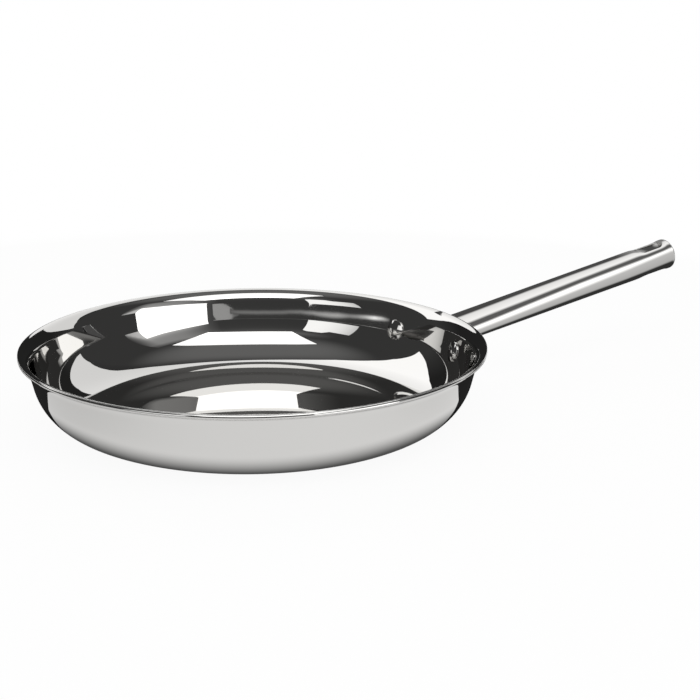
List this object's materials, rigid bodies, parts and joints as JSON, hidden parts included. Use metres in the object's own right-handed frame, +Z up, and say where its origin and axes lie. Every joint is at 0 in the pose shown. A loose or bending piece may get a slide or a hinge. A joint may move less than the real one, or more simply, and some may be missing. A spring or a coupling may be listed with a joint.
{
  "type": "frying pan",
  "caption": "Round frying pan with a flared rim, pressed from bonded steel and aluminium plies, with a long tubular steel handle riveted to its wall and a hanging slot at the handle's end.",
  "frame": {"origin": "centre of the pan's flat underside", "axes": "+Z up along the pan's axis, +X along the handle, +Y to its left"},
  "size_m": [0.475, 0.28, 0.0727],
  "materials": {
    "outer_steel": "stainless steel, mirror polished",
    "core_aluminium": "rolled sheet, sealed between the steel plies",
    "inner_steel": "stainless steel, mirror polished",
    "bracket_steel": "stainless steel, satin polished",
    "rivet_steel": "stainless steel, polished",
    "weld_steel": "stainless steel, weld bead, cleaned",
    "handle_steel": "stainless steel tube, mirror polished"
  },
  "bodies": {
    "root": {"outer_ply": "outer_steel", "core_ply": "core_aluminium", "inner_ply": "inner_steel", "handle_bracket": "bracket_steel", "rivet_left": "rivet_steel", "rivet_right": "rivet_steel", "handle_weld": "weld_steel", "handle_tube": "handle_steel", "handle_cap": "handle_steel"}
  },
  "joints": []
}
